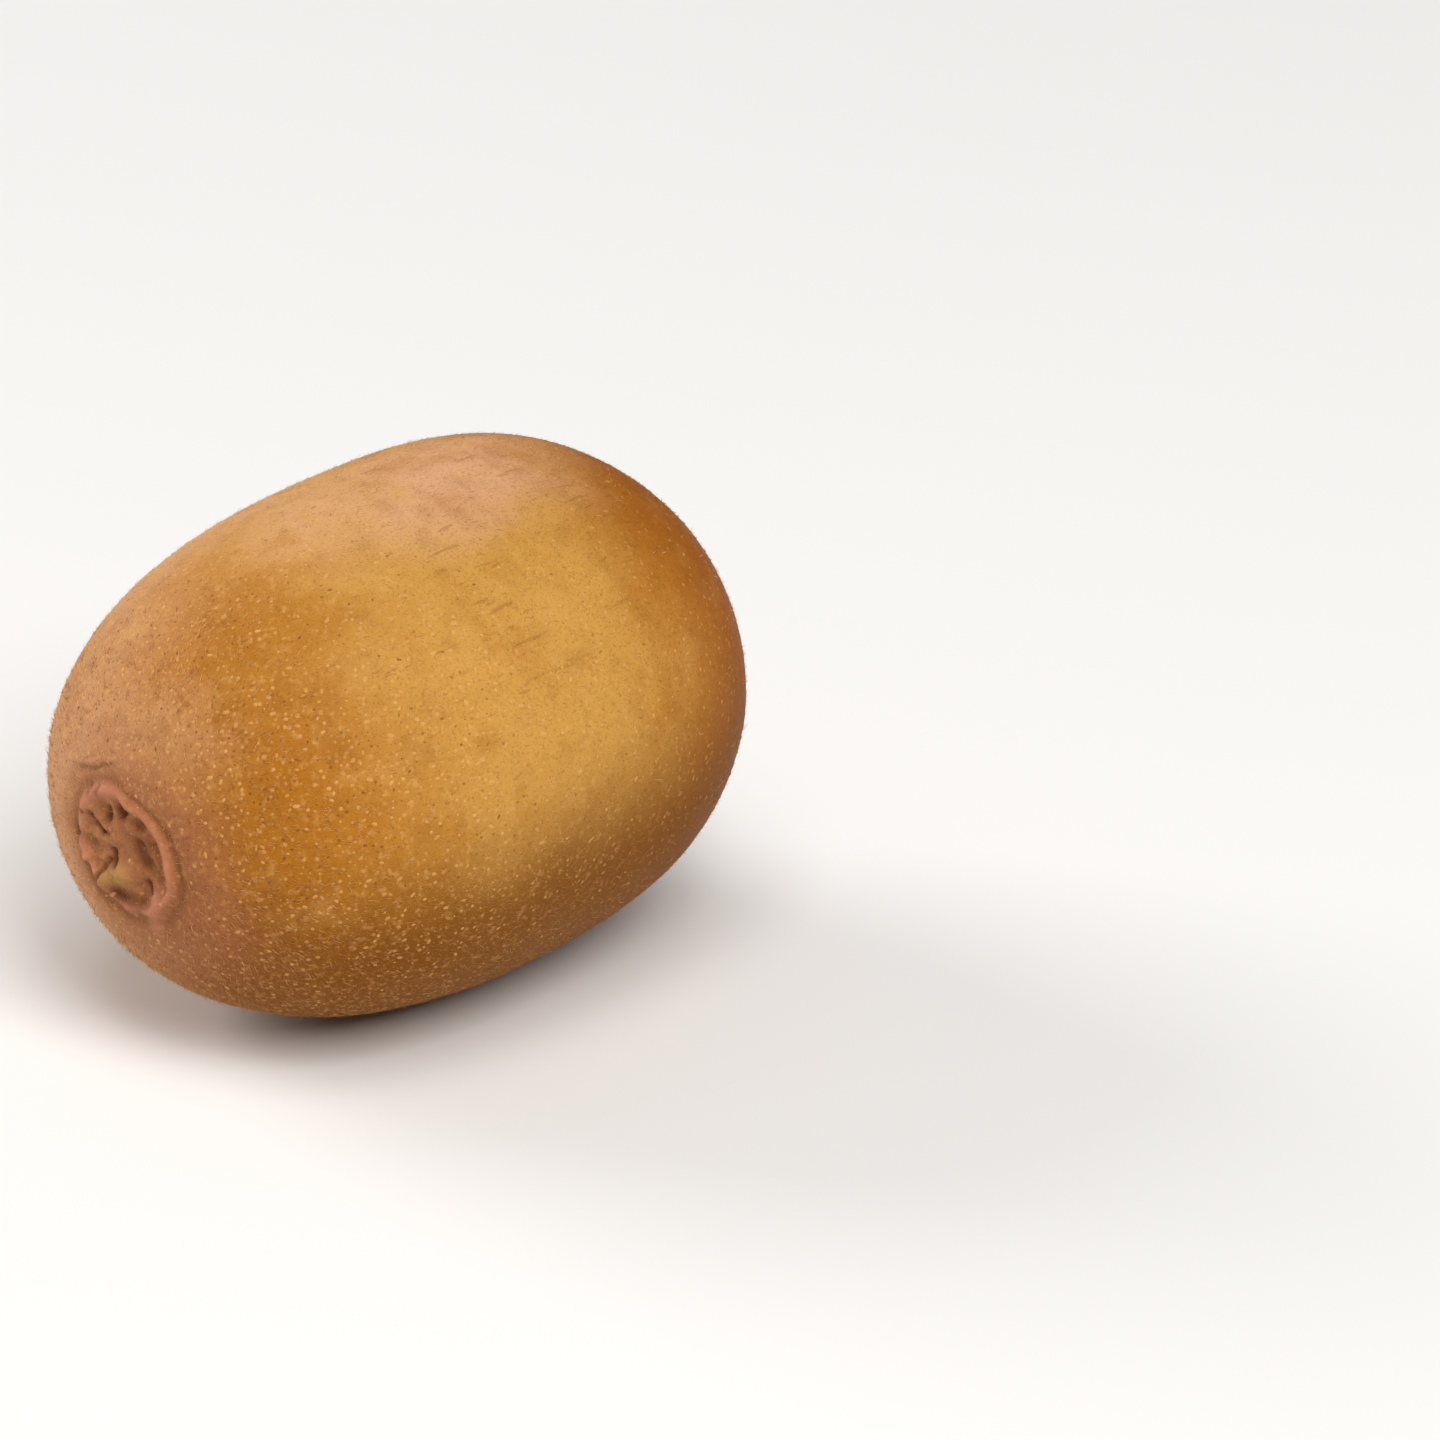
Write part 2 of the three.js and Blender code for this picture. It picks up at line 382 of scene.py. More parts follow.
def blossom_relief(shape, y, z):
    """How far the blossom end's skin stands out along the axis at (y, z) from it, and its masks."""
    y, z = y - BUTTON_MIDDLE[0], z - BUTTON_MIDDLE[1]
    flat = np.stack((y, z, 0.0 * y), axis=-1)
    turn = np.arctan2(z, y)
    out = np.hypot(y, z) / (shape.ring_radius * (1.0 + waves_at(RING_OUTLINE, turn)))
    out = out + 0.1 * RING_LUMPS * wobble(flat, 2.0 * MM, seed=41.0)
    breadth = RING.width * (1.0 + waves_at(RING_BREADTH, turn))
    faint = bump(np.angle(np.exp(1j * (turn - RING_FAINT))), RING_FAINT_BREADTH)
    swell = 1.0 + waves_at(RING_SWELL, turn) + RING_LUMPS * wobble(flat, 2.4 * MM, seed=43.0)
    swell = swell * (1.0 - 0.3 * faint)
    ring = RING.height * swell * bump(out - RING.at, breadth)
    folds = np.cos(PUCKER_COUNT * turn + PUCKER_TWIST * out)
    sway = [MARK_SWAY * wobble(flat, 1.6 * MM, seed) for seed in (31.0, 37.0)]
    marks = [mark_at(mark, y + sway[0], z + sway[1]) for mark in BUTTON_MARKS]
    knob = mark_at(KNOB, y, z)
    flap = mark_at(FLAP, y + sway[0], z + sway[1])
    moat = zone_at(MOAT, out) * (1.0 + waves_at(MOAT_SWELL, turn))
    zones = sum(zone_at(zone, out) for zone in BUTTON_ZONES)
    relief = zones + ring + moat + knob + flap + sum(marks)
    relief = relief + folds * zone_at(PUCKERS, out)

    crest = bump(out - RING.at, 0.8 * breadth) * (1.0 - 0.6 * faint)
    grooves = sum(-np.minimum(mark, 0.0) for mark in marks)
    # Painted shade in the crease outside the ring and in the grooves, darker where they are deeper.
    hollow = bump(out - CREASE.at, CREASE.width) * 0.3 + grooves / (0.5 * MM)
    masks = {
        "button": 1.0 / (1.0 + (out / 1.9) ** 4),
        "ring": np.maximum(crest, flap / (FLAP.height * MM)),
        "bowl": bump(out, BOWL.width),
        "knob": knob / (KNOB.height * MM),
        "hollow": np.clip(hollow, 0.0, 1.0),
        "out": out,
    }
    return relief, masks


def stalk_relief(y, z):
    """The same for the stalk end, with its one mask."""
    turn = np.arctan2(z, y)
    radius = np.hypot(y, z)
    stub = (1.0 + np.cos(SEPAL_COUNT * (turn - SEPAL_CREST))) / 2.0
    relief = zone_at(DIMPLE, radius) + zone_at(SCAR_LIP, radius) + stub * zone_at(SEPALS, radius)
    return relief, bump(radius, 5.5 * MM)


def grown(shape, x, y, z):
    """Turns points of the plain lathed body into the fruit's, and gives the masks at them."""
    along = x / shape.half_length
    turn = np.arctan2(z, y)
    lobes = 1.0 + (1.0 - along**2) * waves_at(BODY_LOBES, turn)
    blossom, masks = blossom_relief(shape, y, z)
    stalk, scar = stalk_relief(y, z)
    at_blossom = x < 0.0
    for name in BUTTON_MASKS:
        masks[name] = masks[name] * at_blossom
    masks["scar"] = scar * ~at_blossom
    masks["along"] = along
    masks["turn"] = turn
    x = np.where(at_blossom, x - blossom, x + stalk)
    y = y * lobes + shape.axis_bow * along**2
    z = z * lobes * (shape.half_height / shape.half_width)
    drop = np.array(Matrix.Rotation(-shape.blossom_drop, 3, "Y"))
    return np.stack((x, y, z), axis=-1) @ drop.T, masks


def fine_relief(shape, places, masks):
    """The unevenness and the fine wrinkles of the skin, as a height along its normals."""
    slow = wobble(places, 11 * MM) + 0.45 * wobble(places, 3.4 * MM, seed=7.0)
    slow = slow + 0.12 * wobble(places, 1.1 * MM, seed=3.0)
    from_button = np.clip(masks["out"] - 1.2, 0.0, None)
    near_button = np.where(masks["along"] < 0.0, from_button * np.exp(-from_button / 0.9), 0.0)
    sway = 3.0 * wobble(places, 9 * MM, seed=5.0)
    patchy = 0.5 + 0.5 * wobble(places, 5 * MM, seed=11.0)
    furrows = np.cos(FURROWS * masks["turn"] + sway) * patchy * near_button
    crumpled = wobble(places, 1.3 * MM, seed=13.0) + 0.4 * wobble(places, 0.6 * MM, seed=19.0)
    shrivel = crumpled * masks["bowl"] + wobble(places, 0.9 * MM, seed=17.0) * masks["scar"]
    return shape.unevenness * slow + shape.wrinkles * (2.2 * furrows + 2.4 * shrivel)


def plain_points(station, radius, sides):
    """The plain body's corners: one at its first end, those of each ring, one at its last end."""
    x = np.concatenate((station[:1], np.repeat(station[1:-1], sides), station[-1:]))
    spread = np.repeat(radius[1:-1], sides)
    turns = np.tile(np.arange(sides) * (2.0 * math.pi / sides), len(station) - 2)
    y = np.concatenate(([0.0], spread * np.cos(turns), [0.0]))
    z = np.concatenate(([0.0], spread * np.sin(turns), [0.0]))
    return x, y, z


def skin_faces(rings, sides):
    """Quads from ring to ring, then a fan of triangles at each end."""
    first = 1 + np.arange(rings * sides).reshape(rings, sides)
    after = np.roll(first, -1, axis=1)
    quads = np.stack((first[:-1], after[:-1], after[1:], first[1:]), axis=-1).reshape(-1, 4)
    last = rings * sides + 1
    fans = [(0, b, a) for a, b in zip(first[0].tolist(), after[0].tolist())]
    fans += [(last, a, b) for a, b in zip(first[-1].tolist(), after[-1].tolist())]
    return quads.tolist() + fans


def skin_mesh(shape):
    """The whole skin as one closed mesh, on its flat spot, with a mask on every corner."""
    station, radius = meridian(shape)
    rings = len(station) - 2
    places, masks = grown(shape, *plain_points(station, radius, shape.sides))
    middle = (places.min(axis=0) + places.max(axis=0)) / 2.0
    floor = places[:, 2].min() + shape.flat_depth
    mesh = mesh_of(SKIN, places, skin_faces(rings, shape.sides))

    normals = values_of(mesh.vertex_normals, "vector", 3)
    places = places + normals * fine_relief(shape, places, masks)[:, None]
    places[:, 2] = np.maximum(places[:, 2], floor) - floor
    low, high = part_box(SOLID)
    places[:, :2] += np.array((low + high) / 2.0)[:2] - middle[:2]
    mesh.vertices.foreach_set("co", places.astype(np.float32).ravel())
    for name in MASKS:
        write_mask(mesh, name, masks[name])
    unroll(mesh, rings, shape.sides)
    mesh.update()
    return mesh


def unroll(mesh, rings, sides):
    """Maps the skin like a sheet round a barrel: its quads in rows, then the fans at the ends."""
    ring, side = np.divmod(np.arange((rings - 1) * sides), sides)
    u = np.stack((side, side + 1, side + 1, side), axis=-1).ravel() / sides
    v = np.stack((ring, ring, ring + 1, ring + 1), axis=-1).ravel() + 1
    turn = np.arange(sides)
    first_u = np.stack((turn + 0.5, turn + 1, turn), axis=-1).ravel() / sides
    last_u = np.stack((turn + 0.5, turn, turn + 1), axis=-1).ravel() / sides
    first_v = np.tile((0, 1, 1), sides)
    last_v = np.tile((rings + 1, rings, rings), sides)
    across = np.concatenate((u, first_u, last_u))
    along = np.concatenate((v, first_v, last_v)) / (rings + 1)
    write_map(mesh, np.stack((across, along), axis=-1))


# ---- scattering over the skin


def skin_surface():
    """The finished skin's corners, triangles, normals and masks."""
    mesh = bpy.data.objects[SKIN].data
    mesh.calc_loop_triangles()
    corners = values_of(mesh.vertices, "co", 3)
    triangles = values_of(mesh.loop_triangles, "vertices", 3, np.int32)
    normals = values_of(mesh.vertex_normals, "vector", 3)
    masks = {name: values_of(mesh.attributes[name].data, "value") for name in MASKS}
    return Surface(corners, triangles, normals, masks)


def unit(vectors):
    return vectors / np.maximum(np.linalg.norm(vectors, axis=-1, keepdims=True), 1e-12)


def scattered(surface, how_many, density, random):
    """Random spots on the skin, as many to an area as the density at each corner says."""
    a, b, c = (surface.corners[surface.triangles[:, i]] for i in range(3))
    area = np.linalg.norm(np.cross(b - a, c - a), axis=1)
    weight = np.cumsum(area * density[surface.triangles].mean(axis=1))
    chosen = surface.triangles[np.searchsorted(weight, random.random(how_many) * weight[-1])]
    share = random.dirichlet((1.0, 1.0, 1.0), how_many)

    def blended(values):
        return np.einsum("ij,ij...->i...", share, values[chosen])

    normals = unit(blended(surface.normals))
    along = unit(np.array((1.0, 0.0, 0.0)) - normals[:, :1] * normals)
    masks = {name: blended(values) for name, values in surface.masks.items()}
    return Spots(blended(surface.corners), normals, along, masks)


def picked(spots, keep):
    masks = {name: values[keep] for name, values in spots.masks.items()}
    return Spots(spots.places[keep], spots.normals[keep], spots.along[keep], masks)


def apart(spots, gap):
    """The spots that are left when each keeps this far from those before it."""
    taken, kept = {}, []
    cells = np.floor(spots.places / gap).astype(int)
    near = [(i, j, k) for i in (-1, 0, 1) for j in (-1, 0, 1) for k in (-1, 0, 1)]
    for index, (spot, cell) in enumerate(zip(spots.places, cells)):
        around = (taken.get((cell[0] + i, cell[1] + j, cell[2] + k)) for i, j, k in near)
        if all(other is None or np.linalg.norm(spot - other) >= gap for other in around):
            taken[tuple(cell)] = spot
            kept.append(index)
    return picked(spots, np.array(kept))


def uneven(random, many, spread):
    """Random factors round 1, for sizes that differ from one small form to the next."""
    return np.exp(spread * random.standard_normal(many))


def turned(spots, angles):
    """The direction on the skin at each spot that is turned by an angle from the meridian's."""
    across = np.cross(spots.normals, spots.along)
    return np.cos(angles)[:, None] * spots.along + np.sin(angles)[:, None] * across


def lifted(spots, heading, reach, rise):
    """Places at a reach along the heading and a rise off the skin from each spot."""
    return spots.places + heading * reach[:, None] + spots.normals * rise[:, None]


def copies_of(name, rows, triangles, footprint):
    """One mesh of many small closed forms. Each row holds one corner of all of them. The footprint
    maps a form's corners into a square cell of its own."""
    corners = np.stack(rows, axis=1)
    many, corners_each = corners.shape[:2]
    starts = (np.arange(many) * corners_each)[:, None, None]
    faces = (np.array(triangles)[None] + starts).reshape(-1, 3)
    mesh = mesh_of(name, corners.reshape(-1, 3), faces.tolist())
    cells = math.ceil(math.sqrt(many))
    row, column = np.divmod(np.arange(many), cells)
    origin = np.stack((column, row), axis=-1)[:, None]
    corner_maps = ((origin + 0.5 + 0.4 * np.array(footprint)[None]) / cells).reshape(-1, 2)
    write_map(mesh, corner_maps[values_of(mesh.loops, "vertex_index", 1, np.int32)])
    return mesh


def circle(corners, radius):
    turns = [2.0 * math.pi * corner / corners for corner in range(corners)]
    return [(radius * math.cos(turn), radius * math.sin(turn)) for turn in turns]


def spikes(name, spots, heading, lengths, widths, lean, curl, sections):
    """Closed three-sided hairs. Lean is their angle off the skin, curl their bend back to it."""
    side = np.cross(heading, spots.normals)
    rows = []
    for section in range(sections):
        share = section / sections
        sunk = widths if section == 0 else 0.0
        rise = lengths * (share * np.sin(lean) - curl * share**2) - sunk
        middle = lifted(spots, heading, lengths * share * np.cos(lean), rise)
        thick = widths / 2.0 * (1.0 - share) ** 0.6
        for corner in range(3):
            round_it = corner * 2.0 * math.pi / 3.0
            aside = side * math.cos(round_it) + spots.normals * math.sin(round_it)
            rows.append(middle + aside * thick[:, None])
    rows.append(lifted(spots, heading, lengths * np.cos(lean), lengths * (np.sin(lean) - curl)))
    triangles = [(0, 1, 2)]
    for section in range(sections - 1):
        low, high = 3 * section, 3 * section + 3
        for i in range(3):
            j = (i + 1) % 3
            triangles += [(low + i, high + j, low + j), (low + i, high + i, high + j)]
    top = 3 * sections
    triangles += [(top - 3 + i, top, top - 3 + (i + 1) % 3) for i in range(3)]
    footprint = sum((circle(3, 1.0 - section / sections) for section in range(sections)), [])
    return copies_of(name, rows, triangles, footprint + [(0.0, 0.0)])


def pads(name, spots, heading, lengths, widths, heights):
    """Low closed domes that lie on the skin, with their sharp rims a little under it."""
    side = np.cross(heading, spots.normals)
    rows = [spots.places - spots.normals * (PAD_ROOT * heights)[:, None]]
    for spread, rise in PAD_CIRCLES:
        for corner in range(SPECK_SIDES):
            round_it = corner * 2.0 * math.pi / SPECK_SIDES
            reach = heading * (lengths / 2.0 * spread * math.cos(round_it))[:, None]
            aside = side * (widths / 2.0 * spread * math.sin(round_it))[:, None]
            rows.append(spots.places + reach + aside + spots.normals * (heights * rise)[:, None])
    rows.append(spots.places + spots.normals * heights[:, None])
    top = 2 * SPECK_SIDES + 1
    triangles = []
    for i in range(SPECK_SIDES):
        low, next_low = 1 + i, 1 + (i + 1) % SPECK_SIDES
        high, next_high = low + SPECK_SIDES, next_low + SPECK_SIDES
        triangles += [(0, low, next_low), (low, high, next_low)]
        triangles += [(high, next_high, next_low), (high, top, next_high)]
    circles = circle(SPECK_SIDES, 1.0) + circle(SPECK_SIDES, 0.6)
    mesh = copies_of(name, rows, triangles, [(0.0, 0.0), *circles, (0.0, 0.0)])
    sharpen(mesh, top + 1, 1, SPECK_SIDES)
    return mesh


def sharpen(mesh, corners_each, first, last):
    """Makes sharp the edges between the corners from first to last of each small form."""
    ends = values_of(mesh.edges, "vertices", 2, np.int32) % corners_each
    inside = ((ends >= first) & (ends <= last)).all(axis=1)
    mesh.attributes.new("sharp_edge", "BOOLEAN", "EDGE").data.foreach_set("value", inside)


# ---- materials


class Recipe:
    """The nodes of one material. Each method adds one and gives back the output to link on."""

    def __init__(self, name):
        self.material = bpy.data.materials.new(name)
        self.material.use_nodes = True
        self.nodes = self.material.node_tree.nodes
        self.links = self.material.node_tree.links
        self.shader = self.nodes["Principled BSDF"]
        self.millimetres = self.scaled(self.node("ShaderNodeTexCoord").outputs["Object"], 1.0 / MM)

    def node(self, kind, inputs=None, **settings):
        """A new node. The inputs give a value, or an output to link, to some of its sockets."""
        made = self.nodes.new(kind)
        for name, value in settings.items():
            setattr(made, name, value)
        for socket, value in (inputs or {}).items():
            self.feed(made.inputs[socket], value)
        return made

    def feed(self, socket, value):
        if isinstance(value, bpy.types.NodeSocket):
            self.links.new(value, socket)
        elif socket.type == "RGBA":
            socket.default_value = (*value, 1.0)
        else:
            socket.default_value = value

    def set(self, **values):
        """Sets or links the shader's sockets, named with underscores."""
        for name, value in values.items():
            self.feed(self.shader.inputs[name.replace("_", " ")], value)

    def scaled(self, vector, scale):
        scales = (scale,) * 3 if isinstance(scale, float) else scale
        made = self.node("ShaderNodeVectorMath", {0: vector, 1: scales}, operation="MULTIPLY")
        return made.outputs[0]

    def sum(self, *values):
        return self.folded("ADD", values)

    def product(self, *values):
        return self.folded("MULTIPLY", values)

    def folded(self, operation, values):
        total = values[0]
        for value in values[1:]:
            made = self.node("ShaderNodeMath", {0: total, 1: value}, operation=operation)
            total = made.outputs[0]
        return total

    def texture(self, kind, scale, inputs, **settings):
        """A texture laid over the piece by its own places, in millimetres times the scale."""
        vector = self.scaled(self.millimetres, scale)
        return self.node(kind, {"Vector": vector, "Scale": 1.0, **inputs}, **settings)

    def noise(self, cell, seed, detail=2.0, stretch=(1.0, 1.0, 1.0)):
        """Smooth noise from 0 to 1 with features about a cell across, in millimetres."""
        scale = tuple(1.0 / (cell * share) for share in stretch)
        inputs = {"W": seed, "Detail": detail}
        made = self.texture("ShaderNodeTexNoise", scale, inputs, noise_dimensions="4D")
        return made.outputs["Fac"]

    def dots(self, cell, seed):
        """Distance to the nearest of some random points, about a cell apart, in cells."""
        inputs = {"W": seed}
        made = self.texture("ShaderNodeTexVoronoi", 1.0 / cell, inputs, voronoi_dimensions="4D")
        return made.outputs["Distance"]

    def ranged(self, value, low, high, to_low=0.0, to_high=1.0):
        """The value's place between low and high, smooth and kept in range."""
        ends = {"From Min": low, "From Max": high, "To Min": to_low, "To Max": to_high}
        inputs = {"Value": value, **ends}
        made = self.node("ShaderNodeMapRange", inputs, interpolation_type="SMOOTHSTEP")
        return made.outputs["Result"]

    def mixed(self, share, first, second):
        """One colour turned into another by a share from 0 to 1."""
        made = self.node("ShaderNodeMix", data_type="RGBA")
        ends = [socket for socket in made.inputs if socket.type == "RGBA"]
        self.feed(made.inputs["Factor"], share)
        self.feed(ends[0], first)
        self.feed(ends[1], second)
        return next(socket for socket in made.outputs if socket.type == "RGBA")

    def mask(self, name):
        return self.node("ShaderNodeAttribute", attribute_name=name).outputs["Fac"]

    def axis(self, name):
        return self.node("ShaderNodeSeparateXYZ", {0: self.millimetres}).outputs[name]

    def bump(self, height, distance):
        """Fine relief: the height is a share of the distance, in millimetres."""
        inputs = {"Distance": distance * MM, "Height": height}
        return self.node("ShaderNodeBump", inputs).outputs["Normal"]


def skin_tint(r, colours):
    """The skin's slow changes of colour, with painted shade and painted sheen in them, which its
    specks follow. Places are in millimetres.
    """
    patches = r.sum(r.noise(16.0, seed=1.0), -0.5)
    clouds = r.noise(6.5, seed=16.0)
    mottle = r.noise(3.0, seed=2.0, detail=3.0)
    along = r.sum(r.axis("X"), r.product(patches, 18.0))
    # The near (-Y) side, where the painted shade towards the stalk end and low down is strongest.
    shaded_side = r.ranged(r.axis("Y"), 12.0, -8.0, 0.4, 1.0)
    height = r.sum(r.axis("Z"), r.product(patches, 9.0))
    tint = r.mixed(r.ranged(along, -33.0, -9.0), colours.amber, colours.gold)
    # Browner towards the stalk end: partly the skin's own colour, partly painted shade.
    tint = r.mixed(r.product(r.ranged(along, 1.0, 29.0), shaded_side), tint, colours.russet_and_shade)
    # Painted sheen: paler and rosier on top.
    tint = r.mixed(r.ranged(height, 46.0, 52.5, 0.0, 0.95), tint, colours.painted_sheen)
    tint = r.mixed(r.ranged(clouds, 0.52, 0.72, 0.0, 0.4), tint, colours.amber)
    straw = r.product(r.ranged(clouds, 0.46, 0.28, 0.0, 0.5), r.ranged(along, 22.0, 2.0, 0.3, 1.0))
    tint = r.mixed(straw, tint, colours.straw)
    # Painted shade: darker low down and towards the stalk end, on the near side.
    underside = r.sum(height, r.product(r.axis("X"), -0.12))
    umber_shade_and_mottle = r.product(r.ranged(underside, 32.0, 16.0, 0.0, 0.9), shaded_side)
    tint = r.mixed(umber_shade_and_mottle, tint, colours.umber_shade_and_mottle)
    blush = r.sum(r.mask("button"), r.product(r.sum(mottle, -0.5), 0.4))
    tint = r.mixed(r.ranged(blush, 0.08, 0.7), tint, colours.rose)
    # Painted sheen along the far outline and on the upper side above the button, less on the button
    # itself.
    far_side = r.product(r.ranged(r.axis("Y"), -8.0, 14.0, 0.0, 0.6), r.ranged(along, -12.0, -37.0))
    far_rim = r.product(
        r.ranged(r.axis("Y"), 2.0, 15.0, 0.0, 0.65),
        r.ranged(along, 16.0, -10.0),
        r.ranged(height, 29.0, 42.0),
    )
    above_button = r.product(
        r.ranged(r.sum(r.axis("X"), r.product(mottle, 6.0)), -25.0, -31.5, 0.0, 0.5),
        r.ranged(r.sum(r.axis("Y"), r.product(clouds, 8.0)), -11.0, 2.0),
        r.ranged(r.axis("Z"), 29.0, 37.0),
    )
    off_button = r.ranged(r.mask("button"), 0.6, 0.92, 1.0, 0.3)
    painted_sheen_share = r.product(r.folded("MAXIMUM", (far_side, far_rim, above_button)), off_button)
    tint = r.mixed(painted_sheen_share, tint, colours.painted_sheen)
    return r.mixed(r.ranged(mottle, 0.45, 0.75, 0.0, 0.22), tint, colours.umber_shade_and_mottle)


def end_tints(r, colours, skin):
    """The skin with the colours of the button's parts and of the stalk scar on it, and painted
    shade in the button's creases, slits and pits.
    """
    for mask, strength, tint in (
        ("ring", 0.75, colours.ring),
        ("knob", 0.8, colours.knob),
        # painted shade in the button's creases, slits and pits
        ("hollow", 0.7, colours.hollow),
        ("scar", 0.8, colours.dry),
    ):
        skin = r.mixed(r.product(r.mask(mask), strength), skin, tint)
    return skin


def skin_material(colours):
    """Golden skin with grain, dots, flecks and scratches, and the colours of its two ends."""
    r = Recipe("golden_skin")
    skin = skin_tint(r, colours)
    grain = r.noise(0.7, seed=3.0)
    fine_grain = r.noise(0.25, seed=4.0, detail=1.0)
    paleness = r.ranged(r.axis("X"), 22.0, -14.0, 0.3, 1.0)
    pale_grain = r.product(r.ranged(grain, 0.5, 0.75, 0.0, 0.35), paleness)
    skin = r.mixed(pale_grain, skin, colours.speck)
    skin = r.mixed(r.ranged(fine_grain, 0.5, 0.28, 0.0, 0.3), skin, colours.umber_shade_and_mottle)

    crowd = r.noise(8.0, seed=6.0, detail=1.0)
    pale_dots = r.ranged(r.dots(0.95, seed=1.0), 0.30, 0.18)
    pale = r.product(pale_dots, r.ranged(crowd, 0.4, 0.6, 0.15, 0.6), paleness)
    skin = r.mixed(pale, skin, colours.speck)
    dark = r.product(r.ranged(r.dots(1.6, seed=5.0), 0.15, 0.06), 0.55)
    skin = r.mixed(dark, skin, colours.fleck)
    scratches = r.product(
        r.ranged(r.noise(0.7, seed=14.0, stretch=(8.0, 1.0, 1.0)), 0.60, 0.70),
        r.ranged(r.noise(9.0, seed=15.0, detail=1.0), 0.46, 0.6, 0.0, 0.32),
        r.ranged(r.axis("Z"), 28.0, 40.0),
    )
    skin = r.mixed(scratches, skin, colours.fleck)

    skin = end_tints(r, colours, skin)
    heights = r.sum(r.product(grain, 0.6), r.product(fine_grain, 0.3), r.product(pale, 0.5))
    r.set(
        Base_Color=skin,
        Roughness=r.ranged(grain, 0.3, 0.7, 0.48, 0.6),
        Specular_IOR_Level=0.05,
        Sheen_Weight=0.01,
        Sheen_Roughness=0.4,
        Sheen_Tint=(1.0, 0.86, 0.74),
        Normal=r.bump(heights, 0.05),
    )
    return r.material


def speck_material(colours):
    """Corky specks: most are paler than the skin that they stand on, the others darker."""
    r = Recipe("pale_specks")
    skin = skin_tint(r, colours)
    pale = r.mixed(r.mask("strength"), skin, colours.speck)
    dark = r.mixed(r.mask("strength"), skin, colours.fleck)
    tint = r.mixed(r.mask("dark"), pale, dark)
    grain = r.bump(r.noise(0.12, seed=9.0, detail=1.0), 0.02)
    r.set(Base_Color=tint, Roughness=0.7, Specular_IOR_Level=0.1, Normal=grain)
    return r.material


def hair_material(name, first, second):
    """Short hairs that vary from one to the next."""
    r = Recipe(name)
    tone = r.noise(0.9, seed=10.0, detail=1.0)
    tint = r.mixed(r.ranged(tone, 0.35, 0.65), first, second)
    r.set(Base_Color=tint, Roughness=0.7, Specular_IOR_Level=0.1)
    return r.material


def dry_material(name, colours, darkness):
    """Dry, fibrous brown remains of the stalk and the sepals."""
    r = Recipe(name)
    streaks = r.noise(0.35, seed=12.0, detail=3.0)
    patches = r.noise(1.6, seed=13.0)
    darker = r.ranged(streaks, 0.35, 0.7, 0.0, darkness)
    tint = r.mixed(darker, colours.dry, colours.hollow)
    tint = r.mixed(r.ranged(patches, 0.5, 0.75, 0.0, 0.6), tint, colours.cork)
    r.set(Base_Color=tint, Roughness=0.85, Specular_IOR_Level=0.2, Normal=r.bump(streaks, 0.12))
    return r.material


def floor_material():
    r = Recipe("studio_floor")
    tone = r.noise(220.0, seed=20.0)
    r.set(Base_Color=r.mixed(tone, (0.86, 0.86, 0.86), (0.89, 0.885, 0.88)), Roughness=0.8)
    return r.material


# ---- pieces


def place(mesh, material):
    """Puts a piece into the scene under its mesh's name, riding on the fruit's one body."""
    piece = bpy.data.objects.new(mesh.name, mesh)
    bpy.context.scene.collection.objects.link(piece)
    mesh.materials.append(material)
    mesh.polygons.foreach_set("use_smooth", [True] * len(mesh.polygons))
    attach(piece, BODY)
    return piece


class KIWI_OT_skin(bpy.types.Operator):
    """Make the fine skin, which stands for the plain solid."""

    bl_idname = "kiwi.skin"
    bl_label = "Fine skin"

    def execute(self, context):
        scene = context.scene
        piece = place(skin_mesh(scene.kiwi_shape), skin_material(scene.kiwi_colours))
        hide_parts(SOLID)
        return {"FINISHED"}


def speck_density(surface):
    """How close the specks stand at each corner: patchy, closest at the blossom end, few on top."""
    masks = surface.masks
    plain = 1.0 - np.clip(1.2 * masks["button"] + masks["scar"], 0.0, 0.96)
    patchy = np.clip(1.0 + 1.2 * wobble(surface.corners, 9 * MM, seed=21.0), 0.1, None)
    crowd = 0.45 + 1.5 * np.clip(-masks["along"], 0.0, 1.0) ** 1.5
    crowd = crowd + 0.35 * np.clip(masks["along"] - 0.2, 0.0, 1.0)
    upper = np.clip(surface.corners[:, 2] / (38 * MM) - 1.0, 0.0, 0.25)
    return plain * patchy * crowd * (1.0 - 3.0 * upper)


def speck_spots(cover, random):
    """The spots that the specks stand on, none too close to the next or to the floor."""
    surface = skin_surface()
    spots = scattered(surface, SPECK_TRIES * cover.specks, speck_density(surface), random)
    spots = apart(spots, cover.speck_gap)
    spots = picked(spots, np.arange(len(spots.places)) < cover.specks)
    return picked(spots, spots.places[:, 2] > SPECK_CLEARANCE)


class KIWI_OT_specks(bpy.types.Operator):
    """Scatter the raised specks, most of them pale, densest towards the blossom end."""

    bl_idname = "kiwi.specks"
    bl_label = "Pale specks"

    def execute(self, context):
        cover = context.scene.kiwi_cover
        random = np.random.default_rng(SPECK_SEED)
        spots = speck_spots(cover, random)
        many = len(spots.places)
        dark = random.random(many) < cover.dark_share
        spread = np.minimum(uneven(random, many, 0.33), 1.35)
        widths = cover.speck_size * spread * np.where(dark, 0.75, 1.0)
        lengths = widths * (1.0 + 1.0 * random.random(many) ** 2)
        heights = widths * random.uniform(0.10, 0.2, many)
        heading = turned(spots, random.normal(0.0, 0.7, many))
        mesh = pads("pale_specks", spots, heading, lengths, widths, heights)
        fading = 1.0 - 0.5 * np.clip(1.2 * spots.masks["along"] + 0.5, 0.0, 1.0)
        strength = random.uniform(0.25, 0.75, many) * fading
        corners_each = len(mesh.vertices) // many
        shown = {"button": spots.masks["button"], "dark": dark, "strength": strength}
        for name, values in shown.items():
            write_mask(mesh, name, np.repeat(values, corners_each))
        place(mesh, speck_material(context.scene.kiwi_colours))
        return {"FINISHED"}


